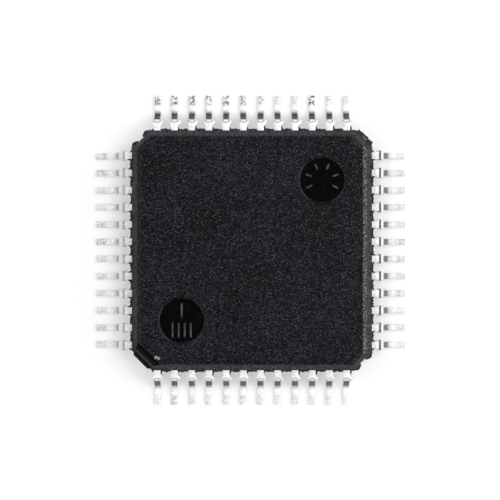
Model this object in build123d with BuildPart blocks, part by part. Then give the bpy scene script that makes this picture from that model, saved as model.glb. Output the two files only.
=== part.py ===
from build123d import *
import os
from math import atan2, cos, radians, sin, sqrt, tan

# A 48-lead quad flat pack chip, in millimetres and degrees.
# The origin is the middle of the surface that the feet stand on, and +Z is up.
# Seen from above, lead 1 is the first of the bottom row on the left, beside the bevelled index corner,
# and the numbers run anticlockwise.

# Leads outside the body
lead_pitch = 0.5
leads_per_side = 12
lead_width = 0.2
lead_thickness = 0.13
lead_reach = 1.0
shoulder_flat = 0.11
bend_radius = 0.1
heel_bend_radius = 0.16
bend_facets = 4
leg_lean = 11
stub_width = 0.28
stub_first_angle = 62
stub_last_angle = 14
stub_inset = 0.012

# Moulded body
corner_room = 0.75
body_thickness = 1.4
standoff = 0.1
draft_angle = 14
corner_chamfer = 0.5
gate_chamfer = 0.6
edge_radius = 0.17
mark_diameter = 1.32
mark_depth = 0.05
mark_offset = 2.03
mark_wall_angle = 40
index_width = 0.14
index_depth = 0.115

# Mould flash on the corners, the notches punched in two of them and the gate's stump on one
flash_length = 0.66
flash_reach = 0.05
notch_width = 0.17
notch_waist_width = 0.2
notch_mouth_width = 0.42
notch_depth = 0.08
gate_rise = 0.1

# Lead frame inside the body
finger_straight = 0.25
finger_gap = 0.35
finger_tip_width = 0.18
finger_corner_room = 0.5
paddle_margin = 0.5
paddle_drop = 0.2
tie_width = 0.16
tie_ramp = 0.2
tie_root = 0.1
tie_stub = 0.035

# Die, its glue and the bond wires
die_size = 2.6
die_thickness = 0.28
glue_thickness = 0.025
glue_margin = 0.06
wire_thickness = 0.025
wire_rise = 0.14
wire_landing = 0.16
pad_pitch = 0.19
pad_inset = 0.1

# Heights worked out from the sizes above
parting_height = standoff + body_thickness / 2
top_height = standoff + body_thickness
lead_bottom = parting_height - lead_thickness / 2
lead_top = lead_bottom + lead_thickness
paddle_bottom = lead_bottom - paddle_drop
paddle_top = paddle_bottom + lead_thickness
die_bottom = paddle_top + glue_thickness
die_top = die_bottom + die_thickness

# Places worked out from the sizes above, measured from the middle
row_half = (leads_per_side - 1) / 2 * lead_pitch
body_half = row_half + corner_room
tip_reach = body_half + lead_reach
corner_reach = (2 * body_half - corner_chamfer) / sqrt(2)
gate_reach = (2 * body_half - gate_chamfer) / sqrt(2)
notch_reach = corner_reach - notch_depth
paddle_half = die_size / 2 + paddle_margin
finger_start = body_half - finger_straight
finger_end = paddle_half + finger_gap
finger_row_half = finger_end - finger_corner_room
row_places = [index * lead_pitch - row_half for index in range(leads_per_side)]

# The sides in the order of the lead numbers, each by the way it faces, and then the corners.
# In the punched corners a cut tie bar stands out in a notch, and in the flush one it ends level with the flash.
side_angles = [-90, 0, 90, 180]
punched_corner_angles = [-45, 135]
flush_corner_angle = 45
gate_corner_angle = 225

os.makedirs("parts", exist_ok=True)


def finish(builder, name):
    """Name a finished piece and write it."""
    builder.part.label = name
    export_step(builder.part, f"parts/{name}.step")


def upright_plane(angle):
    """The vertical plane through the middle that looks out at an angle: x outwards, y up."""
    outwards = Vector(cos(radians(angle)), sin(radians(angle)), 0)
    return Plane(origin=(0, 0, 0), x_dir=outwards, z_dir=outwards.cross(Vector(0, 0, 1)))


def polar_point(middle, radius, angle):
    """The point at a distance and an angle from a middle point."""
    return middle + Vector(radius * cos(radians(angle)), radius * sin(radians(angle)))


def bend_corners(middle, radius, first_angle, last_angle):
    """The corners of a bend's facets, from where it starts to where it ends."""
    step = (last_angle - first_angle) / bend_facets
    return [polar_point(middle, radius, first_angle + step * index) for index in range(bend_facets + 1)]


def finger_place(row_place, reach):
    """Where along its row a finger's middle is, at a distance from the middle of the chip."""
    tip_place = row_place * finger_row_half / row_half
    share = (reach - finger_end) / (finger_start - finger_end)
    return tip_place + share * (row_place - tip_place)


# Side view of a lead: the underside runs flat out of the body, down the leaning leg and along the foot.
# The bends are drawn as flat facets, so that many leads stay light.
heel_radius = heel_bend_radius + lead_thickness
lean_across = cos(radians(leg_lean))
lean_along = sin(radians(leg_lean))
shoulder_bend = Vector(body_half + shoulder_flat, lead_bottom - bend_radius)
leg_drop = shoulder_bend.Y + bend_radius * lean_along - heel_radius * (1 - lean_along)
leg_run = leg_drop * lean_along / lean_across + (bend_radius + heel_radius) * lean_across
heel_bend = Vector(shoulder_bend.X + leg_run, heel_radius)
with BuildSketch() as wing_profile:
    with BuildLine():
        Polyline(
            (finger_start, lead_bottom),
            *bend_corners(shoulder_bend, bend_radius, 90, leg_lean),
            *bend_corners(heel_bend, heel_radius, 180 + leg_lean, 270),
            (tip_reach, 0),
        )
        offset(amount=lead_thickness, side=Side.LEFT, kind=Kind.INTERSECTION, closed=True)
    make_face()

# One lead outside the body, pointing along +X: the strip, and the cut stub of the dam bar across its first bend
stub_inner = bend_radius + stub_inset
stub_outer = bend_radius + lead_thickness - stub_inset
with BuildSketch() as stub_profile:
    with BuildLine():
        Polyline(
            polar_point(shoulder_bend, stub_inner, stub_first_angle),
            polar_point(shoulder_bend, stub_inner, stub_last_angle),
            polar_point(shoulder_bend, stub_outer, stub_last_angle),
            polar_point(shoulder_bend, stub_outer, stub_first_angle),
            close=True,
        )
    make_face()
with BuildPart() as gull_wing:
    for profile, width in ((wing_profile, lead_width), (stub_profile, stub_width)):
        with BuildSketch(Plane.XZ):
            add(profile.sketch)
        extrude(amount=width / 2, both=True)

# Forty-eight leads, each with its own finger that fans in towards the die
leads = []
for side_angle in side_angles:
    for row_place in row_places:
        finger_tip_place = finger_place(row_place, finger_end)
        with BuildPart() as lead:
            with Locations(Location((0, 0, 0), (0, 0, side_angle))):
                with Locations((0, row_place)):
                    add(gull_wing.part)
            with BuildSketch(Plane(Location((0, 0, lead_bottom), (0, 0, side_angle)))):
                with BuildLine():
                    Polyline(
                        (finger_start, row_place - lead_width / 2),
                        (finger_start, row_place + lead_width / 2),
                        (finger_end, finger_tip_place + finger_tip_width / 2),
                        (finger_end, finger_tip_place - finger_tip_width / 2),
                        close=True,
                    )
                make_face()
            extrude(amount=lead_thickness)
        leads.append(lead)
        finish(lead, f"lead_{len(leads):02d}")

# The pad under the die, with a tie bar that ramps up to the lead frame's level and out to each corner
paddle_corner = paddle_half * sqrt(2)
tie_ends = {angle: notch_reach + tie_stub for angle in punched_corner_angles}
tie_ends[flush_corner_angle] = corner_reach + flash_reach
tie_ends[gate_corner_angle] = gate_reach + flash_reach
with BuildPart() as die_paddle:
    with BuildSketch(Plane.XY.offset(paddle_bottom)):
        Rectangle(2 * paddle_half, 2 * paddle_half)
    extrude(amount=lead_thickness)
    for corner_angle, tie_end in tie_ends.items():
        with BuildSketch(upright_plane(corner_angle)):
            with BuildLine():
                Polyline(
                    (paddle_corner - 2 * tie_root, paddle_bottom),
                    (paddle_corner + tie_root, paddle_bottom),
                    (paddle_corner + tie_root + tie_ramp, lead_bottom),
                    (tie_end, lead_bottom),
                )
                offset(amount=lead_thickness, side=Side.LEFT, kind=Kind.INTERSECTION, closed=True)
            make_face()
        extrude(amount=tie_width / 2, both=True)
finish(die_paddle, "die_paddle")

with BuildPart() as die_attach:
    with BuildSketch(Plane.XY.offset(paddle_top)):
        Rectangle(die_size + 2 * glue_margin, die_size + 2 * glue_margin)
    extrude(amount=glue_thickness)
finish(die_attach, "die_attach")

with BuildPart() as silicon_die:
    with BuildSketch(Plane.XY.offset(die_bottom)):
        Rectangle(die_size, die_size)
    extrude(amount=die_thickness)
finish(silicon_die, "silicon_die")

# Bond wires: each rises from its pad near the die's edge and slopes down to land on its finger
pad_reach = die_size / 2 - pad_inset
landing_reach = finger_end + wire_landing
wire_drop = die_top - lead_top
with BuildPart() as bond_wires:
    for side_angle in side_angles:
        side = Location((0, 0, 0), (0, 0, side_angle))
        for index, row_place in enumerate(row_places):
            pad_place = (index - (leads_per_side - 1) / 2) * pad_pitch
            landing_place = finger_place(row_place, landing_reach)
            pad = (side * Pos(pad_reach, pad_place, die_top)).position
            landing = (side * Pos(landing_reach, landing_place, die_top)).position
            along = landing - pad
            slope = atan2(wire_rise + wire_drop, along.length)
            knee_height = wire_rise - wire_thickness * (tan(slope) + 1 / cos(slope))
            with BuildSketch(Plane(origin=pad, x_dir=along, z_dir=along.cross(Vector(0, 0, 1)))):
                with BuildLine():
                    Polyline(
                        (0, 0),
                        (0, wire_rise),
                        (along.length, -wire_drop),
                        (along.length - wire_thickness / sin(slope), -wire_drop),
                        (wire_thickness, knee_height),
                        (wire_thickness, 0),
                        close=True,
                    )
                make_face()
            extrude(amount=wire_thickness / 2, both=True)
finish(bond_wires, "bond_wires")

# The body, moulded round the lead frame: two drafted halves that meet at the parting line
with BuildPart() as mould_body:
    with BuildSketch(Plane.XY.offset(parting_height)) as parting_outline:
        Rectangle(2 * body_half, 2 * body_half)
        corners = parting_outline.vertices().sort_by(lambda corner: corner.X + corner.Y)
        chamfer(corners[1:], length=corner_chamfer)
        corners = parting_outline.vertices().sort_by(lambda corner: corner.X + corner.Y)
        chamfer(corners[0], length=gate_chamfer)
    extrude(amount=body_thickness / 2, taper=draft_angle)
    mirror(about=Plane.XY.offset(parting_height))
    fillet(mould_body.faces().sort_by(Axis.Z)[-1].edges(), radius=edge_radius)
    fillet(mould_body.faces().sort_by(Axis.Z)[0].edges(), radius=edge_radius)

    # The index bevel across the top edge of the gate corner
    index_outer = gate_reach - body_thickness / 2 * tan(radians(draft_angle))
    with BuildSketch(upright_plane(gate_corner_angle)):
        with BuildLine():
            Polyline(
                (index_outer - index_width, top_height),
                (index_outer + index_width, top_height),
                (index_outer + index_width, top_height - 2 * index_depth),
                close=True,
            )
        make_face()
    extrude(amount=body_half, both=True, mode=Mode.SUBTRACT)

    # Round ejector marks, two polished recesses in the top and two in the underside
    for face_height, inwards in ((top_height, -1), (standoff, 1)):
        with BuildSketch(Plane(origin=(0, 0, face_height), x_dir=(1, 0, 0), z_dir=(0, 0, inwards))):
            with Locations((mark_offset, -mark_offset), (-mark_offset, mark_offset)):
                Circle(mark_diameter / 2)
        extrude(amount=mark_depth, taper=mark_wall_angle, mode=Mode.SUBTRACT)

    # Flash on the corners at the lead frame's level, thicker where the gate's stump covers its tie bar
    plain_corner_angles = [*punched_corner_angles, flush_corner_angle]
    flash_corners = [(corner_angle, corner_reach, lead_thickness) for corner_angle in plain_corner_angles]
    flash_corners.append((gate_corner_angle, gate_reach, lead_thickness + gate_rise))
    for corner_angle, reach, flash_thickness in flash_corners:
        with BuildSketch(Plane.XY.offset(lead_bottom)):
            with PolarLocations(reach, 1, start_angle=corner_angle):
                Polygon(
                    (-flash_reach, -flash_length / 2),
                    (0, -flash_length / 2),
                    (flash_reach, flash_reach - flash_length / 2),
                    (flash_reach, flash_length / 2 - flash_reach),
                    (0, flash_length / 2),
                    (-flash_reach, flash_length / 2),
                    align=None,
                )
        extrude(amount=flash_thickness)

    # Notches where a punch cut the tie bars, right through the parting line and wider through the flash
    notch_mouth = notch_depth + flash_reach
    with BuildSketch(Plane.XY.offset(standoff)):
        for corner_angle in punched_corner_angles:
            with PolarLocations(notch_reach, 1, start_angle=corner_angle):
                Polygon(
                    (0, -notch_width / 2),
                    (notch_depth, -notch_waist_width / 2),
                    (notch_mouth, -notch_mouth_width / 2),
                    (notch_mouth, notch_mouth_width / 2),
                    (notch_depth, notch_waist_width / 2),
                    (0, notch_width / 2),
                    align=None,
                )
    extrude(amount=body_thickness, mode=Mode.SUBTRACT)

    # The compound fills the room round everything inside it
    filling = [*leads, die_paddle, die_attach, silicon_die, bond_wires]
    add([piece.part for piece in filling], mode=Mode.SUBTRACT)
finish(mould_body, "mould_body")
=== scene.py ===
"""Looks of a 48-lead quad flat pack chip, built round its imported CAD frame, in metres."""
import math

import bpy
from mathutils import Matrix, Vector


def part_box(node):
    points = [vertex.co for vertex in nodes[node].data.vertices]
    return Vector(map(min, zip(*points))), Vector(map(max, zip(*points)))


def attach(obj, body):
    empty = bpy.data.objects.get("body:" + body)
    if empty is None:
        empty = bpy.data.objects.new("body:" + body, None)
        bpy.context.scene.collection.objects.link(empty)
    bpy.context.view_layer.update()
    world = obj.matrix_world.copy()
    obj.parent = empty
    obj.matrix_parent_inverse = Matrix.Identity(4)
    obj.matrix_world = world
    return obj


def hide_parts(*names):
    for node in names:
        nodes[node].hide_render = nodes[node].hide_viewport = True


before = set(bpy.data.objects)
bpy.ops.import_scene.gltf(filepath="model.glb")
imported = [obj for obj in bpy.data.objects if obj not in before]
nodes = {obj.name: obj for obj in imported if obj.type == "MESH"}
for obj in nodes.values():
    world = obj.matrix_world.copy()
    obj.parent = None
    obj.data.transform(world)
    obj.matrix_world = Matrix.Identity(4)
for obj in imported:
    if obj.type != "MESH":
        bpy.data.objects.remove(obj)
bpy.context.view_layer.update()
scene = bpy.context.scene
MM = 0.001
QUARTER_TURN = math.pi / 2

# Sizes of the chip, read from the frame or repeated from its source
body_low, body_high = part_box("mould_body")
first_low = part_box("lead_01")[0]
body_half = body_high.x
top_height = body_high.z
standoff = body_low.z
parting_height = (standoff + top_height) / 2
half_height = top_height - parting_height
foot_tip = -first_low.y
lead_pitch = 0.5 * MM
leads_per_side = 12
strip_width = 0.2 * MM
strip_thickness = 0.13 * MM
shoulder_radius = 0.165 * MM
heel_radius = 0.225 * MM
leg_lean = math.radians(11)
shoulder_flat = 0.11 * MM
finger_end = 2.15 * MM
finger_start = 3.25 * MM
finger_fan = 0.6
mark_offset = 2.03 * MM
mark_floor_radius = 0.648 * MM
mark_wall = 0.02 * MM
mark_floor = top_height - 0.05 * MM
index_start = 4.211 * MM
top_edge_start = 3.2 * MM
corner_flash_reach = 4.646 * MM


# Node helpers
def put(tree, kind, values=(), **settings):
    """Add a node, then its settings, then its inputs: each is a value or a socket to link from."""
    made = tree.nodes.new(kind)
    for name, setting in settings.items():
        setattr(made, name, setting)
    for name, value in dict(values).items():
        if isinstance(value, bpy.types.NodeSocket):
            tree.links.new(value, made.inputs[name])
        else:
            made.inputs[name].default_value = value
    return made


def give(tree, sockets, values):
    """Link each value to the socket of its name."""
    for name, value in values.items():
        tree.links.new(value, sockets[name])


def maths(tree, operation, *terms):
    """One step of arithmetic on numbers or sockets."""
    return put(tree, "ShaderNodeMath", enumerate(terms), operation=operation).outputs[0]


def in_turn(tree, operation, first, *others):
    """The same step of arithmetic with one term after another."""
    for other in others:
        first = maths(tree, operation, first, other)
    return first


def plus(tree, *terms):
    """The sum of numbers or sockets."""
    return in_turn(tree, "ADD", *terms)


def less(tree, first, second):
    """The first number or socket less the second."""
    return maths(tree, "SUBTRACT", first, second)


def times(tree, *terms):
    """The product of numbers or sockets."""
    return in_turn(tree, "MULTIPLY", *terms)


def over(tree, first, second):
    """The first number or socket divided by the second."""
    return maths(tree, "DIVIDE", first, second)


def most(tree, *terms):
    """The largest of numbers or sockets."""
    return in_turn(tree, "MAXIMUM", *terms)


def ramp(tree, value, low, high, start=0.0, end=1.0):
    """A smooth step from start to end as a value goes from low to high."""
    sizes = {"Value": value, "From Min": low, "From Max": high, "To Min": start, "To Max": end}
    return put(tree, "ShaderNodeMapRange", sizes, interpolation_type="SMOOTHSTEP").outputs["Result"]


def fall(tree, value, low, high):
    """A smooth step from 1 down to 0 as a value goes from low to high."""
    return ramp(tree, value, low, high, 1.0, 0.0)


def vector(tree, x=0.0, y=0.0, z=0.0):
    """A vector from three numbers or sockets."""
    return put(tree, "ShaderNodeCombineXYZ", {"X": x, "Y": y, "Z": z}).outputs["Vector"]


def parts(tree, socket):
    """The three numbers of a vector."""
    return put(tree, "ShaderNodeSeparateXYZ", {"Vector": socket}).outputs


def flat_length(tree, x, y):
    """The length of a vector in plan."""
    made = put(tree, "ShaderNodeVectorMath", {0: vector(tree, x, y)}, operation="LENGTH")
    return made.outputs["Value"]


def blend(tree, share, first, second):
    """A colour between two others. The mix node's sockets share their names, so they go by number."""
    made = put(tree, "ShaderNodeMix", {0: share, 6: first, 7: second}, data_type="RGBA")
    return made.outputs[2]


def noise(tree, place, size, detail):
    """Cloudy noise with patches of about this size."""
    values = {"Vector": place, "Scale": over(tree, 1.0, size), "Detail": detail}
    return put(tree, "ShaderNodeTexNoise", values).outputs[0]


def floats(*names):
    """Number sockets of these names."""
    return [(name, "Float") for name in names]


def new_tree(name, kind, inputs, outputs):
    """A node tree with named sockets, with what comes in and where the result goes."""
    tree = bpy.data.node_groups.new(name, kind)
    for way, sockets in (("INPUT", inputs), ("OUTPUT", outputs)):
        for socket_name, socket_type in sockets:
            socket_kind = "NodeSocket" + socket_type
            tree.interface.new_socket(socket_name, in_out=way, socket_type=socket_kind)
    source = tree.nodes.new("NodeGroupInput").outputs
    result = tree.nodes.new("NodeGroupOutput").inputs
    return tree, source, result


# Shader groups for effects that several materials share
def make_sand_grain():
    """Sandblasted grain: a height for bumps, light and dark grain, pale specks and broad clouds.

    The upright stretch draws the grain out along Z, for steep sides.
    """
    tree, source, result = new_tree(
        "Sand grain",
        "ShaderNodeTree",
        floats("Grain size", "Cloud size", "Upright stretch"),
        floats("Height", "Grain", "Specks", "Clouds"),
    )
    x, y, z = parts(tree, put(tree, "ShaderNodeTexCoord").outputs["Object"])
    place = vector(tree, x, y, over(tree, z, source["Upright stretch"]))
    fineness = over(tree, 1.0, source["Grain size"])
    cells = put(tree, "ShaderNodeTexVoronoi", {"Vector": place, "Scale": fineness}).outputs
    fine = noise(tree, place, source["Grain size"], detail=2.0)
    broad = noise(tree, place, source["Cloud size"], detail=3.0)
    few_bright = 3.0
    shine = maths(tree, "POWER", parts(tree, cells["Color"])["X"], few_bright)
    values = {
        "Height": less(tree, fine, cells["Distance"]),
        "Grain": ramp(tree, fine, low=0.36, high=0.66),
        "Specks": times(tree, shine, fall(tree, cells["Distance"], low=0.15, high=0.6)),
        "Clouds": ramp(tree, broad, low=0.3, high=0.7),
    }
    give(tree, result, values)
    return tree


def make_metal_mottle():
    """Uneven metal: soft blotches and a fine height."""
    tree, source, result = new_tree(
        "Metal mottle",
        "ShaderNodeTree",
        floats("Blotch size", "Grain size"),
        floats("Blotches", "Height"),
    )
    place = put(tree, "ShaderNodeTexCoord").outputs["Object"]
    soft = noise(tree, place, source["Blotch size"], detail=2.0)
    fine = noise(tree, place, source["Grain size"], detail=3.0)
    give(tree, result, {"Blotches": ramp(tree, soft, low=0.35, high=0.65), "Height": fine})
    return tree


def make_round_patch():
    """A round patch seen from above: 1 inside, 0 outside."""
    tree, source, result = new_tree(
        "Round patch",
        "ShaderNodeTree",
        [("Place", "Vector"), ("Centre", "Vector"), *floats("Radius", "Softness")],
        floats("Mask"),
    )
    ends = {0: source["Place"], 1: source["Centre"]}
    away = parts(tree, put(tree, "ShaderNodeVectorMath", ends, operation="SUBTRACT").outputs[0])
    inner = less(tree, source["Radius"], source["Softness"])
    mask = fall(tree, flat_length(tree, away["X"], away["Y"]), inner, source["Radius"])
    give(tree, result, {"Mask": mask})
    return tree


sand_grain = make_sand_grain()
metal_mottle = make_metal_mottle()
round_patch = make_round_patch()


# Material helpers
def new_material(name):
    """An empty node material, its tree and its main shader."""
    material = bpy.data.materials.new(name)
    material.use_nodes = True
    tree = material.node_tree
    tree.nodes.clear()
    shader = tree.nodes.new("ShaderNodeBsdfPrincipled")
    put(tree, "ShaderNodeOutputMaterial", {"Surface": shader.outputs[0]})
    return material, tree, shader


def group(tree, shared, values):
    """Place a shared effect in a material with its own values."""
    return put(tree, "ShaderNodeGroup", values, node_tree=shared).outputs


def sand(tree, grain_size, cloud_size, stretch=1.0):
    """Place the sand grain in a material."""
    sizes = {"Grain size": grain_size, "Cloud size": cloud_size, "Upright stretch": stretch}
    return group(tree, sand_grain, sizes)


def mottled(tree, blotch_size, grain_size):
    """Place the metal mottle in a material."""
    return group(tree, metal_mottle, {"Blotch size": blotch_size, "Grain size": grain_size})


def coat(tree, shader, colour, rough, height, distance, strength):
    """Join a colour, a roughness and a bump to the main shader."""
    values = {"Height": height, "Distance": distance, "Strength": strength}
    bump = put(tree, "ShaderNodeBump", values).outputs[0]
    give(tree, shader.inputs, {"Base Color": colour, "Roughness": rough, "Normal": bump})


def grey(level, blue=1.0):
    """A neutral colour, with this much blue to the rest."""
    return (level, level, level * blue, 1.0)


# Wear on the top of the compound: x, y and radius of each spot in millimetres
rubbed_spots = ((-0.985, -2.16, 0.09), (-0.52, -2.03, 0.08))
pale_chips = ((-2.775, -3.095, 0.06), (-2.695, -3.125, 0.056))
compound_colours = {
    "pit": grey(0.0),
    "dark cloud": grey(0.007, 1.4),
    "light cloud": grey(0.015, 1.4),
    "speck": grey(0.068, 1.15),
    "dark side": grey(0.003, 1.3),
    "light side": grey(0.073, 1.15),
    "dark polish": grey(0.0012, 1.3),
    "light polish": grey(0.008, 1.2),
    "flash": grey(0.04, 0.95),
    "chip": (0.25, 0.24, 0.23, 1),
    "painted glint": (0.17, 0.166, 0.158, 1),
}


def make_compound():
    """Black mould compound: sandblasted, but polished in the round marks and on the index bevel, with
    a painted sheen on the sides, painted shade at the index corner and painted glints along the right
    top edge.
    """
    material, tree, shader = new_material("mould_compound")
    tones = compound_colours
    place = put(tree, "ShaderNodeTexCoord").outputs["Object"]
    x, y, z = parts(tree, place)
    off_parting = maths(tree, "ABSOLUTE", less(tree, z, parting_height))
    cloud_size = 1.6 * MM
    grain = sand(tree, grain_size=0.045 * MM, cloud_size=cloud_size)
    coarse = sand(tree, grain_size=0.065 * MM, cloud_size=cloud_size, stretch=1.7)

    def below_face(deep, shallow):
        """1 at a depth in millimetres below the top or the underside, 0 at a lesser one."""
        return fall(tree, off_parting, half_height - deep * MM, half_height - shallow * MM)

    def near_top(deep, shallow, full=1.0):
        """0 at a depth in millimetres below the top, full at a lesser one."""
        return ramp(tree, z, top_height - deep * MM, top_height - shallow * MM, 0.0, full)

    def patch(where, centre, radius, softness):
        """A round patch about a place in plan."""
        sizes = {"Place": where, "Centre": (*centre, 0), "Radius": radius, "Softness": softness}
        return group(tree, round_patch, sizes)["Mask"]

    on_top = near_top(deep=0.004, shallow=0.002)

    def spots(table, softness):
        """The spots of a table together, on the top only."""
        masks = []
        for right, up, radius in table:
            masks.append(patch(place, (right * MM, up * MM), radius * MM, softness))
        return times(tree, most(tree, *masks), on_top)

    # One patch in the folded plan covers the marks of both faces: what is sunken there is a mark
    folded = vector(tree, maths(tree, "ABSOLUTE", x), maths(tree, "ABSOLUTE", y))
    mark_middle = (mark_offset, mark_offset)
    mark_softness = 0.01 * MM
    disc = patch(folded, mark_middle, mark_floor_radius, mark_softness)
    wider = patch(folded, mark_middle, mark_floor_radius + mark_wall, mark_softness)
    sunken = below_face(deep=0.012, shallow=0.004)
    in_mark = times(tree, disc, sunken)
    on_wall = times(tree, less(tree, wider, disc), sunken)

    # What is polished or rubbed smooth
    index_softness = 0.01 * MM
    to_index = times(tree, plus(tree, x, y), -math.sqrt(0.5))
    at_index = ramp(tree, to_index, index_start, index_start + index_softness)
    # The polish at the index corner reaches down the side below the bevel: there it is painted shade
    # over the side's reflection
    index_polish_and_shade = times(tree, at_index, near_top(deep=0.4, shallow=0.25, full=0.9))
    on_lip = near_top(deep=-0.0002, shallow=-0.001, full=0.7)
    polished = most(tree, in_mark, index_polish_and_shade, on_lip)
    rub_share = 0.8
    rubbed_and_shaded = times(tree, spots(rubbed_spots, softness=0.05 * MM), rub_share)
    smooth = most(tree, polished, rubbed_and_shaded)
    sandy = less(tree, 1.0, smooth)

    # Cloudy and specked on the faces; on the sides a paler grain that is partly a painted sheen for
    # the bright floor they reflect, held back below the index bevel as painted shade
    cloudy = blend(tree, grain["Clouds"], tones["dark cloud"], tones["light cloud"])
    shade = blend(tree, grain["Grain"], tones["pit"], cloudy)
    specked = blend(tree, grain["Specks"], shade, tones["speck"])
    on_side = most(tree, below_face(deep=0.15, shallow=0.01), on_wall)
    side_grain_and_sheen = blend(tree, coarse["Grain"], tones["dark side"], tones["light side"])
    index_side_shade = 0.8
    side_sheen_share = less(tree, 1.0, times(tree, at_index, index_side_shade))
    colour = blend(tree, times(tree, on_side, side_sheen_share), specked, side_grain_and_sheen)
    polish = blend(tree, grain["Specks"], tones["dark polish"], tones["light polish"])
    colour = blend(tree, smooth, colour, polish)

    # The flash, the pale chip near the index corner, and painted glints along the right top edge, a
    # painted highlight of the light from the right
    flash_share = 0.7
    in_flash = fall(tree, off_parting, low=0.066 * MM, high=0.075 * MM)
    on_flash = times(tree, in_flash, flash_share)
    colour = blend(tree, on_flash, colour, tones["flash"])
    colour = blend(tree, spots(pale_chips, softness=0.03 * MM), colour, tones["chip"])
    edge_softness = 0.035 * MM
    past_edge = ramp(tree, x, top_edge_start, top_edge_start + edge_softness)
    right_edge = times(tree, past_edge, near_top(deep=0.09, shallow=0.05))
    painted_glints = times(tree, right_edge, ramp(tree, grain["Grain"], low=0.2, high=0.95))
    colour = blend(tree, painted_glints, colour, tones["painted glint"])

    side_roughness = 0.5
    polish_gloss = 0.18
    rough = ramp(tree, grain["Specks"], 0.0, 1.0, start=0.24, end=0.34)
    rough = plus(tree, rough, times(tree, on_side, side_roughness))
    rough = less(tree, rough, times(tree, polished, polish_gloss))

    # The relief is deepest on the sides and edges and almost gone where it is polished
    side_relief = 1.5
    edge_relief = 4.0
    least_relief = 0.03
    off_top = below_face(deep=0.03, shallow=0.001)
    relief = plus(tree, grain["Height"], times(tree, coarse["Height"], side_relief, on_side))
    relief = times(tree, relief, most(tree, sandy, least_relief))
    relief = times(tree, relief, plus(tree, 1.0, times(tree, off_top, edge_relief)))
    coat(tree, shader, colour, rough, relief, distance=0.006 * MM, strength=0.7)
    shader.inputs["Specular IOR Level"].default_value = 0.12
    return material


def make_tin():
    """Matte tin plate, with painted shade on the legs, across the first bend and round an oval on it,
    and a painted dark reflection mottled over the tips.
    """
    material, tree, shader = new_material("tin_plate")

    def told(name):
        """What the lead row stored under a name."""
        return put(tree, "ShaderNodeAttribute", attribute_name=name).outputs["Fac"]

    run = told("run")
    aside = told("aside")
    leg_start = told("leg_start")
    leg_end = told("leg_end")
    mottle = mottled(tree, blotch_size=0.055 * MM, grain_size=0.02 * MM)
    blotches = mottle["Blotches"]

    # Painted shade on the steep leg and a painted dark bar across the first bend, for the dark
    # surroundings these faces reflect
    leg_rise = 0.05 * MM
    leg_fall = 0.3 * MM
    leg = times(
        tree,
        ramp(tree, run, leg_start, plus(tree, leg_start, leg_rise)),
        fall(tree, run, leg_end, plus(tree, leg_end, leg_fall)),
        fall(tree, maths(tree, "ABSOLUTE", aside), low=0.075 * MM, high=0.1 * MM),
        told("leg_shade"),
    )
    bar = times(
        tree,
        ramp(tree, run, low=0.145 * MM, high=0.18 * MM),
        fall(tree, run, low=0.21 * MM, high=0.24 * MM),
        told("bar"),
    )

    # On the lower and upper rows, painted shade in a dark rim round an oval on the bend
    oval_place = 0.25 * MM
    oval_half_length = 0.05 * MM
    oval_half_width = 0.085 * MM
    along = over(tree, less(tree, run, oval_place), oval_half_length)
    oval = flat_length(tree, along, over(tree, aside, oval_half_width))
    rim = times(
        tree,
        ramp(tree, oval, low=0.85, high=1.05),
        fall(tree, oval, low=1.2, high=1.55),
        told("oval"),
    )

    # A painted dark reflection, mottled, towards the tips of the feet
    tip = times(
        tree,
        ramp(tree, run, low=1.16 * MM, high=1.28 * MM),
        ramp(tree, blotches, low=0.3, high=0.6),
        told("tip_shade"),
    )
    dull_plate = grey(0.78, 1.01)
    bright_plate = grey(0.96, 1.01)
    # Colours of the painted shade on the leg, the bend and the oval rim, and of the painted dark
    # reflection at the tips
    dark_painted_shade = grey(0.025, 1.1)
    light_painted_shade = grey(0.08, 1.1)
    tip_shade_colour = grey(0.07)
    plate = blend(tree, blotches, dull_plate, bright_plate)
    rubbed_and_shaded = blend(tree, blotches, dark_painted_shade, light_painted_shade)
    shaded_plate = blend(tree, most(tree, leg, bar, rim), plate, rubbed_and_shaded)
    colour = blend(tree, tip, shaded_plate, tip_shade_colour)
    rough = ramp(tree, blotches, 0.0, 1.0, start=0.66, end=0.54)
    coat(tree, shader, colour, rough, mottle["Height"], distance=0.004 * MM, strength=0.6)
    shader.inputs["Metallic"].default_value = 0.28
    return material


def make_metal(name, dark, light, roughness, blotch_size):
    """A plain metal with blotches and a fine grain."""
    material, tree, shader = new_material(name)
    spread = 0.08
    mottle = mottled(tree, blotch_size, grain_size=blotch_size / 8)
    colour = blend(tree, mottle["Blotches"], dark, light)
    rough = ramp(tree, mottle["Blotches"], 0.0, 1.0, roughness + spread, roughness - spread)
    coat(tree, shader, colour, rough, mottle["Height"], distance=blotch_size / 40, strength=0.5)
    shader.inputs["Metallic"].default_value = 0.85
    return material


def make_fill(name, dark, light, roughness, grain_size):
    """A plain filled resin or crystal with a fine grain."""
    material, tree, shader = new_material(name)
    spread = 0.06
    grain = sand(tree, grain_size, cloud_size=20 * grain_size)
    colour = blend(tree, grain["Clouds"], dark, light)
    rough = ramp(tree, grain["Specks"], 0.0, 1.0, roughness + spread, roughness - spread)
    coat(tree, shader, colour, rough, grain["Height"], distance=grain_size / 8, strength=0.4)
    return material


compound = make_compound()
tin = make_tin()
raised_compound = make_fill("raised_marks", grey(0.003, 1.2), grey(0.045, 1.15), 0.46, 0.01 * MM)
copper = make_metal("copper_alloy", (0.08, 0.066, 0.055, 1), (0.15, 0.13, 0.11, 1), 0.5, 0.12 * MM)
gold = make_metal("gold_wire", (0.72, 0.48, 0.17, 1), (0.86, 0.62, 0.26, 1), 0.3, 0.03 * MM)
glue = make_fill("die_glue", (0.34, 0.34, 0.33, 1), (0.48, 0.48, 0.46, 1), 0.5, 0.02 * MM)
silicon = make_fill("silicon", (0.045, 0.05, 0.062, 1), (0.07, 0.078, 0.095, 1), 0.22, 0.03 * MM)


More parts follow.
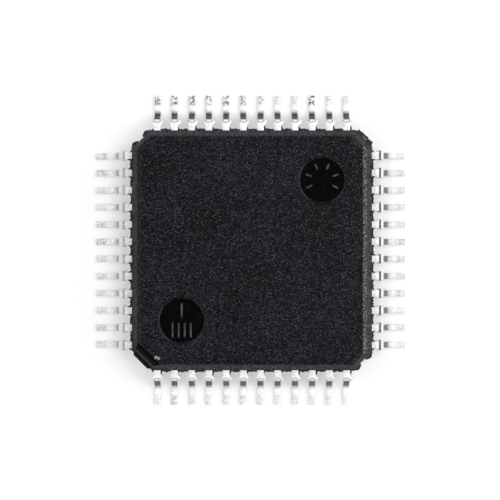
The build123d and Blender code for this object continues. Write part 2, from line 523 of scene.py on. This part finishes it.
# Geometry helpers
def step(tree, kind, values=(), **settings):
    """Add a geometry node and hand on its first result."""
    return put(tree, "GeometryNode" + kind, values, **settings).outputs[0]


def store(tree, geometry, name, value, data_type="FLOAT", domain="POINT"):
    """Keep a value under a name on every point or copy."""
    values = {"Geometry": geometry, "Name": name, "Value": value}
    return step(tree, "StoreNamedAttribute", values, data_type=data_type, domain=domain)


def named(tree, name, data_type="FLOAT"):
    """A value that was kept under a name."""
    made = put(tree, "GeometryNodeInputNamedAttribute", {"Name": name}, data_type=data_type)
    return made.outputs["Attribute"]


def rectangle(tree, width, height):
    """A plain rectangle, for a section or an outline."""
    sizes = {"Width": width, "Height": height}
    return step(tree, "CurvePrimitiveQuadrilateral", sizes, mode="RECTANGLE")


def rounded(tree, curve, count, radius):
    """A curve with its corners rounded in a few steps."""
    return step(tree, "FilletCurve", {"Curve": curve, "Count": count, "Radius": radius}, mode="POLY")


def evened(tree, curve, length):
    """A curve cut into steps of one length."""
    return step(tree, "ResampleCurve", {"Curve": curve, "Length": length}, mode="LENGTH")


def sweep(tree, curve, section, caps):
    """A section drawn along a curve, with its ends closed if asked."""
    values = {"Curve": curve, "Profile Curve": section, "Fill Caps": caps}
    return step(tree, "CurveToMesh", values)


def spaced(tree, count, spacing, axis):
    """Points in a row along one axis, half on each side of the middle."""
    start = times(tree, less(tree, count, 1.0), spacing, -0.5)
    places = {
        "Count": count,
        "Start Location": vector(tree, **{axis: start}),
        "Offset": vector(tree, **{axis: spacing}),
    }
    return step(tree, "MeshLine", places)


def hand_over(tree, geometry, source, result):
    """End a tree: make its copies real and give them its material."""
    real = step(tree, "RealizeInstances", {"Geometry": geometry})
    coated = step(tree, "SetMaterial", {"Geometry": real, "Material": source["Material"]})
    give(tree, result, {"Geometry": coated})
    return tree


def grow(name, tree, sizes):
    """Run a geometry tree with these sizes and keep its result as a plain mesh."""
    piece = bpy.data.objects.new(name, bpy.data.meshes.new(name))
    scene.collection.objects.link(piece)
    modifier = piece.modifiers.new(tree.name, "NODES")
    modifier.node_group = tree
    for socket in tree.interface.items_tree:
        if socket.in_out == "INPUT":
            modifier[socket.identifier] = sizes[socket.name]
    depsgraph = bpy.context.evaluated_depsgraph_get()
    grown = bpy.data.meshes.new_from_object(
        piece.evaluated_get(depsgraph), preserve_all_data_layers=True, depsgraph=depsgraph
    )
    piece.modifiers.clear()
    piece.data = grown
    grown.name = name
    return piece


GEOMETRY = [("Geometry", "Geometry")]
MATERIAL = ("Material", "Material")


# Geometry trees for what repeats
def make_lead_row():
    """A row of gull-wing leads along Y that point along X, then turned to its side of the chip."""
    tree, source, result = new_tree(
        "Lead row",
        "GeometryNodeTree",
        [
            ("Lead count", "Int"),
            *floats("Lead pitch", "Strip width", "Strip thickness"),
            *floats("Finger end", "Finger start", "Finger fan", "Body half"),
            *floats("Shoulder corner", "Heel corner", "Foot tip", "Lead height"),
            *floats("Shoulder radius", "Heel radius", "Low ear", "High ear"),
            *floats("Leg shade", "Leg start", "Leg end", "Bar", "Oval rim shade", "Tip shade", "Turn"),
            ("Seed", "Int"),
            MATERIAL,
        ],
        GEOMETRY,
    )
    half_thickness = times(tree, source["Strip thickness"], 0.5)
    half_width = times(tree, source["Strip width"], 0.5)
    index = step(tree, "InputIndex")
    place = step(tree, "InputPosition")

    # The middle line of one lead, with its two bends rounded
    places = [
        (source["Finger end"], source["Lead height"], 0.0),
        (source["Finger start"], source["Lead height"], 0.0),
        (source["Shoulder corner"], source["Lead height"], source["Shoulder radius"]),
        (source["Heel corner"], half_thickness, source["Heel radius"]),
        (source["Foot tip"], half_thickness, 0.0),
    ]
    corners = put(tree, "GeometryNodeIndexSwitch", data_type="VECTOR")
    radii = put(tree, "GeometryNodeIndexSwitch", data_type="FLOAT")
    for switch in (corners, radii):
        while len(switch.index_switch_items) < len(places):
            switch.index_switch_items.new()
        tree.links.new(index, switch.inputs[0])
    for item, (reach, height, radius) in enumerate(places, 1):
        tree.links.new(vector(tree, reach, 0.0, height), corners.inputs[item])
        if radius:
            tree.links.new(radius, radii.inputs[item])
    points = step(tree, "MeshLine", {"Count": len(places)})
    placed = step(tree, "SetPosition", {"Geometry": points, "Position": corners.outputs[0]})
    line = step(tree, "MeshToCurve", {"Mesh": placed})
    bent = rounded(tree, line, count=16, radius=radii.outputs[0])
    even = evened(tree, bent, length=0.02 * MM)
    length = put(tree, "GeometryNodeSplineParameter").outputs["Length"]
    inside = less(tree, source["Body half"], source["Finger end"])
    marked = store(tree, even, "run", less(tree, length, inside))

    # The strip's cross-section, with its edges just broken
    section = rectangle(tree, source["Strip width"], source["Strip thickness"])
    strip = sweep(tree, marked, rounded(tree, section, count=2, radius=0.014 * MM), caps=True)
    lead = store(tree, strip, "across", over(tree, parts(tree, place)["Y"], half_width))

    # Twelve of them along the row, each with its own number and place
    row = spaced(tree, source["Lead count"], source["Lead pitch"], "y")
    repeated = step(tree, "InstanceOnPoints", {"Points": row, "Instance": lead})
    numbered = store(tree, repeated, "number", index, data_type="INT", domain="INSTANCE")
    spread = store(tree, numbered, "row_place", parts(tree, place)["Y"], domain="INSTANCE")
    real = step(tree, "RealizeInstances", {"Geometry": spread})

    def chance(low, high, identity, draw):
        """A number between two limits, by what it belongs to and which draw it is."""
        seed = plus(tree, source["Seed"], draw)
        sizes = {2: low, 3: high, "ID": identity, "Seed": seed}
        return put(tree, "FunctionNodeRandomValue", sizes).outputs[1]

    run = named(tree, "run")
    side = named(tree, "across")
    number = named(tree, "number", "INT")
    row_place = named(tree, "row_place")

    # Stubs of the cut dam bar, uneven from lead to lead, on both sides of the first bend
    ear_from = 0.105 * MM
    ear_from_spread = 0.02 * MM
    ear_rise = 0.075 * MM
    ear_to = 0.25 * MM
    ear_to_spread = 0.015 * MM
    ear_fall = 0.02 * MM
    ear_least = 0.7
    ear_most = 1.2
    is_high = maths(tree, "GREATER_THAN", side, 0.0)
    side_number = plus(tree, times(tree, number, 2.0), is_high)
    ear_ends = {0: is_high, 2: source["Low ear"], 3: source["High ear"]}
    ear_size = put(tree, "ShaderNodeMix", ear_ends, data_type="FLOAT").outputs[0]
    ear_start = plus(tree, ear_from, chance(-ear_from_spread, ear_from_spread, side_number, 1))
    ear_stop = plus(tree, ear_to, chance(-ear_to_spread, ear_to_spread, side_number, 2))
    ear_band = times(
        tree,
        ramp(tree, run, ear_start, plus(tree, ear_start, ear_rise)),
        fall(tree, run, ear_stop, plus(tree, ear_stop, ear_fall)),
    )
    ear = times(tree, ear_size, ear_band, chance(ear_least, ear_most, side_number, 3))

    # Feet stray a little sideways and narrow towards the tip
    stray_start = 0.3 * MM
    narrow_start = 0.35 * MM
    tip_run = 1.5 * MM
    stray_most = 0.012 * MM
    tip_narrowing = 0.14
    stray = chance(-stray_most, stray_most, number, 4)
    stray = times(tree, stray, ramp(tree, run, stray_start, tip_run))
    narrowing = ramp(tree, run, narrow_start, tip_run, 0.0, -tip_narrowing)
    narrow = times(tree, half_width, narrowing)
    widen = times(tree, side, plus(tree, ear, narrow))

    # Fingers fan in towards the die
    fan_ends = {
        "Value": parts(tree, place)["X"],
        "From Min": source["Finger start"],
        "From Max": source["Finger end"],
    }
    share = put(tree, "ShaderNodeMapRange", fan_ends).outputs["Result"]
    fan = times(tree, row_place, share, less(tree, source["Finger fan"], 1.0))
    shift = plus(tree, stray, widen, fan)

    # What the tin plate needs to know of each point: where it lies across the lead, and how much
    # painted shade the row's leg, bend, oval rim and tips get
    least_tip_shade = 0.4
    told = {
        "aside": plus(tree, times(tree, side, half_width), widen),
        "leg_shade": source["Leg shade"],
        "leg_start": source["Leg start"],
        "leg_end": source["Leg end"],
        "bar": source["Bar"],
        "oval": source["Oval rim shade"],
        "tip_shade": times(tree, source["Tip shade"], chance(least_tip_shade, 1.0, number, 5)),
    }
    for name, value in told.items():
        real = store(tree, real, name, value)
    shaped = step(tree, "SetPosition", {"Geometry": real, "Offset": vector(tree, 0.0, shift)})
    turn = vector(tree, 0.0, 0.0, source["Turn"])
    turned = step(tree, "Transform", {"Geometry": shaped, "Rotation": turn})

    # Smooth faces, with creases at the strip's ends
    smooth = step(tree, "SetShadeSmooth", {"Geometry": turned}, domain="FACE")
    crease_angle = math.radians(28)
    fold = put(tree, "GeometryNodeInputMeshEdgeAngle").outputs["Unsigned Angle"]
    sharp = maths(tree, "GREATER_THAN", fold, crease_angle)
    creases = {"Geometry": smooth, "Selection": sharp, "Shade Smooth": False}
    creased = step(tree, "SetShadeSmooth", creases, domain="EDGE")
    return hand_over(tree, creased, source, result)


def make_parting_flash():
    """Thin flash along the parting line of the sides, with a web at each side of every lead."""
    tree, source, result = new_tree(
        "Parting flash",
        "GeometryNodeTree",
        [
            ("Side count", "Int"),
            *floats("First turn", "Body half", "Side half", "Height", "Thickness", "Root"),
            *floats("Reach", "Web reach", "Web width", "Lead pitch", "Strip width", "Seed"),
            MATERIAL,
        ],
        GEOMETRY,
    )

    # A plain closed bar along one side, once for each side, each with its own number
    edge_share = 0.3
    start = vector(tree, 0.0, times(tree, source["Side half"], -1.0), source["Height"])
    end = vector(tree, 0.0, source["Side half"], source["Height"])
    line = step(tree, "CurvePrimitiveLine", {"Start": start, "End": end})
    even = evened(tree, line, length=0.0125 * MM)
    section = rectangle(tree, source["Root"], source["Thickness"])
    eased = rounded(tree, section, count=2, radius=times(tree, source["Thickness"], edge_share))
    bar = sweep(tree, even, eased, caps=True)
    sides = step(tree, "MeshLine", {"Count": source["Side count"]})
    centred = step(tree, "SetPosition", {"Geometry": sides, "Position": vector(tree)})
    copies = step(tree, "InstanceOnPoints", {"Points": centred, "Instance": bar})
    numbered = store(tree, copies, "side", step(tree, "InputIndex"), domain="INSTANCE")
    real = step(tree, "RealizeInstances", {"Geometry": numbered})
    side = named(tree, "side")

    # Where a point is beside its nearest lead, and on which side of it
    x, y, z = parts(tree, step(tree, "InputPosition"))
    steps = plus(tree, over(tree, y, source["Lead pitch"]), 0.5)
    apart = times(tree, maths(tree, "PINGPONG", steps, 0.5), source["Lead pitch"])
    beside = less(tree, apart, times(tree, source["Strip width"], 0.5))
    past = maths(tree, "WRAP", steps, 0.5, -0.5)
    lean = maths(tree, "SINE", times(tree, side, QUARTER_TURN))
    uneven = less(tree, 1.0, times(tree, maths(tree, "SIGN", past), lean))
    noise_step = 7.3
    own_noise = plus(tree, times(tree, side, noise_step), source["Seed"])

    def waver(size, detail):
        """An uneven share along a side, from 0 to 1."""
        where = vector(tree, over(tree, y, size))
        values = {"Vector": where, "W": own_noise, "Scale": 1.0, "Detail": detail}
        made = put(tree, "ShaderNodeTexNoise", values, noise_dimensions="4D")
        return ramp(tree, made.outputs[0], low=0.3, high=0.7)

    # How far the flash reaches: it stays inside the body where a lead comes out
    held_back = 0.03 * MM
    least_share = 0.35
    between = ramp(tree, beside, low=-0.008 * MM, high=0.004 * MM)
    web = fall(tree, beside, low=0.01 * MM, high=source["Web width"])
    web = times(tree, web, uneven, waver(size=0.2 * MM, detail=1.0))
    ragged = plus(tree, waver(size=0.09 * MM, detail=3.0), least_share)
    plain = times(tree, source["Reach"], ragged)
    reach = plus(tree, plain, times(tree, web, source["Web reach"]))
    held = less(tree, times(tree, plus(tree, reach, held_back), between), held_back)
    share = plus(tree, over(tree, x, source["Root"]), 0.5)
    depth = times(tree, share, plus(tree, source["Root"], held))
    radial = plus(tree, less(tree, source["Body half"], source["Root"]), depth)
    shaped = step(tree, "SetPosition", {"Geometry": real, "Position": vector(tree, radial, y, z)})

    # Each bar goes to its own side
    angle = plus(tree, times(tree, side, QUARTER_TURN), source["First turn"])
    spin = {"Vector": step(tree, "InputPosition"), "Angle": angle}
    turned = put(tree, "ShaderNodeVectorRotate", spin, rotation_type="Z_AXIS").outputs[0]
    round_all = step(tree, "SetPosition", {"Geometry": shaped, "Position": turned})
    return hand_over(tree, round_all, source, result)


def make_raised_bars():
    """Plain raised bars, each narrower at its top, set round an arc or side by side."""
    tree, source, result = new_tree(
        "Raised bars",
        "GeometryNodeTree",
        [
            ("Bar count", "Int"),
            *floats("Bar length", "Bar width", "Bar height"),
            *floats("Arc radius", "First angle", "Angle step", "Side step"),
            ("Centre", "Vector"),
            MATERIAL,
        ],
        GEOMETRY,
    )
    corner_share = 0.35
    top_share = 0.78
    outline = rectangle(tree, source["Bar length"], source["Bar width"])
    eased = rounded(tree, outline, count=3, radius=times(tree, source["Bar width"], corner_share))
    base = step(tree, "FillCurve", {"Curve": eased}, mode="NGONS")
    rise = {"Mesh": base, "Offset Scale": source["Bar height"]}
    raised = put(tree, "GeometryNodeExtrudeMesh", rise, mode="FACES").outputs
    top = {"Geometry": raised[0], "Selection": raised["Top"], "Scale": top_share}
    tapered = step(tree, "ScaleElements", top, domain="FACE")
    under = step(tree, "FlipFaces", {"Mesh": base})
    closed = put(tree, "GeometryNodeJoinGeometry")
    for shell in (tapered, under):
        tree.links.new(shell, closed.inputs[0])
    weld_distance = 0.001 * MM
    shells = {"Geometry": closed.outputs[0], "Distance": weld_distance}
    bar = step(tree, "MergeByDistance", shells)
    outward = vector(tree, source["Arc radius"])
    outer = step(tree, "Transform", {"Geometry": bar, "Translation": outward})

    # One copy for each point of a line that runs to the side
    index = step(tree, "InputIndex")
    places = spaced(tree, source["Bar count"], source["Side step"], "x")
    angle = plus(tree, source["First angle"], times(tree, index, source["Angle step"]))
    turn = vector(tree, 0.0, 0.0, angle)
    copies = step(
        tree, "InstanceOnPoints", {"Points": places, "Instance": outer, "Rotation": turn}
    )
    placed = step(tree, "Transform", {"Geometry": copies, "Translation": source["Centre"]})
    return hand_over(tree, placed, source, result)


def make_mark_lip():
    """A low lip round a round mark, with a flat inner slope and a steep outer one."""
    tree, source, result = new_tree(
        "Mark lip",
        "GeometryNodeTree",
        [*floats("Radius", "Width", "Height", "Root"), ("Centre", "Vector"), MATERIAL],
        GEOMETRY,
    )
    circle = step(tree, "CurvePrimitiveCircle", {"Resolution": 160, "Radius": source["Radius"]})
    ring = sweep(tree, circle, rectangle(tree, source["Width"], source["Root"]), caps=False)

    # The outer half of the section's top rises to the lip's height
    x, y, z = parts(tree, step(tree, "InputPosition"))
    outer = maths(tree, "GREATER_THAN", flat_length(tree, x, y), source["Radius"])
    upper = maths(tree, "GREATER_THAN", z, 0.0)
    rise = times(tree, outer, upper, source["Height"])
    drop = times(tree, source["Root"], -0.5)
    lift = vector(tree, 0.0, 0.0, plus(tree, rise, drop))
    shaped = step(tree, "SetPosition", {"Geometry": ring, "Offset": lift})
    flat = step(tree, "SetShadeSmooth", {"Geometry": shaped, "Shade Smooth": False})
    placed = step(tree, "Transform", {"Geometry": flat, "Translation": source["Centre"]})
    return hand_over(tree, placed, source, result)


# The four rows of leads
lead_row = make_lead_row()
corner_run = shoulder_radius * math.tan((QUARTER_TURN - leg_lean) / 2)
shoulder_corner = body_half + shoulder_flat + corner_run
leg_run = (parting_height - strip_thickness / 2) * math.tan(leg_lean)
seed_step = 11
row_sizes = {
    "Lead count": leads_per_side,
    "Lead pitch": lead_pitch,
    "Strip width": strip_width,
    "Strip thickness": strip_thickness,
    "Finger end": finger_end,
    "Finger start": finger_start,
    "Finger fan": finger_fan,
    "Body half": body_half,
    "Shoulder corner": shoulder_corner,
    "Lead height": parting_height,
    "Shoulder radius": shoulder_radius,
    "Heel radius": heel_radius,
    "Material": tin,
}
# How each row was formed and shaded: its turn in degrees, lengths in millimetres, and the rest as
# shares; the four last shares are painted shade on the leg, across the bend, round the oval and over
# the tips, set row by row for how the light falls on that side
row_forms = {
    "leads_lower_row": {
        "Turn": -90, "Reach": 0.0, "Low ear": 0.025, "High ear": 0.07, "Leg start": 0.24,
        "Leg end": 0.74, "Leg shade": 0.97, "Bar": 0.0, "Oval rim shade": 0.4, "Tip shade": 0.5,
    },
    "leads_right_row": {
        "Turn": 0, "Reach": -0.035, "Low ear": 0.04, "High ear": 0.04, "Leg start": 0.285,
        "Leg end": 0.84, "Leg shade": 0.88, "Bar": 0.95, "Oval rim shade": 0.0, "Tip shade": 0.5,
    },
    "leads_upper_row": {
        "Turn": 90, "Reach": 0.012, "Low ear": 0.075, "High ear": 0.02, "Leg start": 0.25,
        "Leg end": 0.86, "Leg shade": 1.0, "Bar": 0.0, "Oval rim shade": 0.6, "Tip shade": 1.0,
    },
    "leads_left_row": {
        "Turn": 180, "Reach": 0.03, "Low ear": 0.045, "High ear": 0.045, "Leg start": 0.48,
        "Leg end": 0.62, "Leg shade": 0.6, "Bar": 0.5, "Oval rim shade": 0.0, "Tip shade": 0.55,
    },
}
for place, (name, form) in enumerate(row_forms.items()):
    own = {
        "Turn": math.radians(form["Turn"]),
        "Heel corner": shoulder_corner + leg_run + form["Reach"] * MM,
        "Foot tip": foot_tip + form["Reach"] * MM,
        "Seed": seed_step * place,
    }
    for part in ("Low ear", "High ear", "Leg start", "Leg end"):
        own[part] = form[part] * MM
    for part in ("Leg shade", "Bar", "Oval rim shade", "Tip shade"):
        own[part] = form[part]
    leads = grow(name, lead_row, {**row_sizes, **own})
    numbers = range(leads_per_side * place + 1, leads_per_side * (place + 1) + 1)
    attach(leads, "root")
    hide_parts(*[f"lead_{number:02d}" for number in numbers])

# The flash: at the corner a strip width below zero leaves no place for leads
flash = make_parting_flash()
flash_sizes = {
    "Height": parting_height,
    "Thickness": 0.1 * MM,
    "Root": 0.06 * MM,
    "Web width": 0.06 * MM,
    "Lead pitch": lead_pitch,
    "Material": compound,
}
side_flash_sizes = {
    **flash_sizes,
    "Side count": 4,
    "First turn": 0.0,
    "Body half": body_half,
    "Side half": body_half - 0.6 * MM,
    "Reach": 0.035 * MM,
    "Web reach": 0.09 * MM,
    "Strip width": strip_width,
    "Seed": 3.0,
}
corner_flash_sizes = {
    **flash_sizes,
    "Side count": 1,
    "First turn": math.pi / 4,
    "Body half": corner_flash_reach,
    "Side half": 0.28 * MM,
    "Reach": 0.06 * MM,
    "Web reach": 0.0,
    "Strip width": -lead_pitch,
    "Seed": 8.0,
}

# Plain bars on the floors of the two round marks
raised_bars = make_raised_bars()
upright_shift = 0.285 * MM
bar_sizes = {"Bar width": 0.06 * MM, "Bar height": 0.03 * MM, "Material": raised_compound}
arc_sizes = {
    **bar_sizes,
    "Bar count": 6,
    "Bar length": 0.2 * MM,
    "Arc radius": 0.42 * MM,
    "First angle": math.radians(-27),
    "Angle step": math.radians(46.8),
    "Side step": 0.0,
    "Centre": (mark_offset, mark_offset, mark_floor),
}
upright_sizes = {
    **bar_sizes,
    "Bar length": 0.44 * MM,
    "Arc radius": 0.0,
    "First angle": QUARTER_TURN,
    "Angle step": 0.0,
}
single_sizes = {
    **upright_sizes,
    "Bar count": 1,
    "Side step": 0.0,
    "Centre": (-mark_offset, upright_shift - mark_offset, mark_floor),
}
side_sizes = {
    **upright_sizes,
    "Bar count": 4,
    "Side step": 0.175 * MM,
    "Centre": (-mark_offset, -upright_shift - mark_offset, mark_floor),
}

# The lips round the marks
mark_lip = make_mark_lip()
lip_sizes = {
    "Radius": 0.675 * MM,
    "Width": 0.03 * MM,
    "Height": 0.0085 * MM,
    "Root": 0.02 * MM,
    "Material": compound,
}
upper_lip_sizes = {**lip_sizes, "Centre": (mark_offset, mark_offset, top_height)}
lower_lip_sizes = {**lip_sizes, "Centre": (-mark_offset, -mark_offset, top_height)}

moulded = {
    "parting_flash": (flash, side_flash_sizes),
    "corner_flash": (flash, corner_flash_sizes),
    "arc_bars": (raised_bars, arc_sizes),
    "single_bar": (raised_bars, single_sizes),
    "side_bars": (raised_bars, side_sizes),
    "upper_mark_lip": (mark_lip, upper_lip_sizes),
    "lower_mark_lip": (mark_lip, lower_lip_sizes),
}
for name, (tree, sizes) in moulded.items():
    piece = grow(name, tree, sizes)
    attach(piece, "root")

# Finishes of the CAD nodes that stay
finishes = {
    "mould_body": compound,
    "die_paddle": copper,
    "die_attach": glue,
    "silicon_die": silicon,
    "bond_wires": gold,
}
for name, finish in finishes.items():
    node_mesh = nodes[name].data
    node_mesh.materials.clear()
    node_mesh.materials.append(finish)


# Stage: a pale floor that is see-through from below, soft lamps, a plain world and the camera
def make_floor():
    """A pale floor, lifted towards white where it is looked at, that keeps its shadows."""
    floor_half = 0.6
    floor_lift = 0.44
    floor_paint = (0.95, 0.938, 0.98, 1.0)
    material = bpy.data.materials.new("pale_floor")
    material.use_nodes = True
    tree = material.node_tree
    tree.nodes.clear()
    paint = put(tree, "ShaderNodeBsdfDiffuse", {"Color": floor_paint})
    path = put(tree, "ShaderNodeLightPath").outputs
    seen = most(tree, path["Is Camera Ray"], path["Is Transmission Ray"])
    white = put(tree, "ShaderNodeEmission", {"Color": grey(1.0), "Strength": 1.0})
    shares = {0: times(tree, seen, floor_lift), 1: paint.outputs[0], 2: white.outputs[0]}
    lifted = put(tree, "ShaderNodeMixShader", shares)
    clear = put(tree, "ShaderNodeBsdfTransparent")
    behind = put(tree, "ShaderNodeNewGeometry").outputs["Backfacing"]
    faces = {0: behind, 1: lifted.outputs[0], 2: clear.outputs[0]}
    mixed = put(tree, "ShaderNodeMixShader", faces)
    put(tree, "ShaderNodeOutputMaterial", {"Surface": mixed.outputs[0]})
    mesh = bpy.data.meshes.new("floor")
    signs = ((-1, -1), (1, -1), (1, 1), (-1, 1))
    corners = [(right * floor_half, up * floor_half, 0) for right, up in signs]
    mesh.from_pydata(corners, [], [(0, 1, 2, 3)])
    mesh.materials.append(material)
    floor = bpy.data.objects.new("floor", mesh)
    scene.collection.objects.link(floor)


def soft_lamp(name, azimuth, elevation, width, height, share):
    """A soft box that gives the floor a share of full light, 1 being plain white."""
    distance = 0.5
    turn = math.radians(azimuth)
    rise = math.radians(elevation)
    lamp = bpy.data.lights.new(name, "AREA")
    lamp.shape = "RECTANGLE"
    lamp.size = width
    lamp.size_y = height
    lamp.energy = share * math.pi**2 * distance**2 / math.sin(rise)
    holder = bpy.data.objects.new(name, lamp)
    scene.collection.objects.link(holder)
    holder.location = (
        distance * math.cos(rise) * math.cos(turn),
        distance * math.cos(rise) * math.sin(turn),
        distance * math.sin(rise),
    )
    holder.rotation_euler = (QUARTER_TURN - rise, 0, turn + QUARTER_TURN)


def make_world():
    """A dim studio that looks white where the camera sees past the floor."""
    world = bpy.data.worlds.new("studio")
    scene.world = world
    world.use_nodes = True
    tree = world.node_tree
    tree.nodes.clear()
    dim = grey(0.07)
    white = grey(1.0)
    seen = put(tree, "ShaderNodeLightPath").outputs["Is Camera Ray"]
    light = put(tree, "ShaderNodeBackground", {"Color": blend(tree, seen, dim, white)})
    put(tree, "ShaderNodeOutputWorld", {"Surface": light.outputs[0]})


# Each lamp's azimuth and elevation in degrees, width and height in metres, and share of light
lamps = {
    "key_right": (10, 62, 0.44, 0.3, 0.58),
    "low_right": (6, 27, 0.6, 0.3, 0.24),
    "fill_left": (178, 60, 1.0, 0.3, 0.66),
    "fill_upper": (90, 44, 1.0, 0.5, 0.07),
    "fill_lower": (270, 44, 1.0, 0.5, 0.03),
}
make_floor()
for name, setting in lamps.items():
    soft_lamp(name, *setting)
make_world()

# The camera looks straight down, a little left of the middle
camera_right = -0.055 * MM
camera_up = 0.009 * MM
camera_height = 150 * MM
frame_width = 14.6 * MM
camera = bpy.data.cameras.new("camera")
camera.sensor_width = 36
camera.lens = camera.sensor_width * camera_height / frame_width
camera.clip_start = 1 * MM
camera.clip_end = 10
camera_holder = bpy.data.objects.new("camera", camera)
scene.collection.objects.link(camera_holder)
camera_holder.location = (camera_right, camera_up, camera_height)
scene.camera = camera_holder
scene.view_settings.view_transform = "Standard"
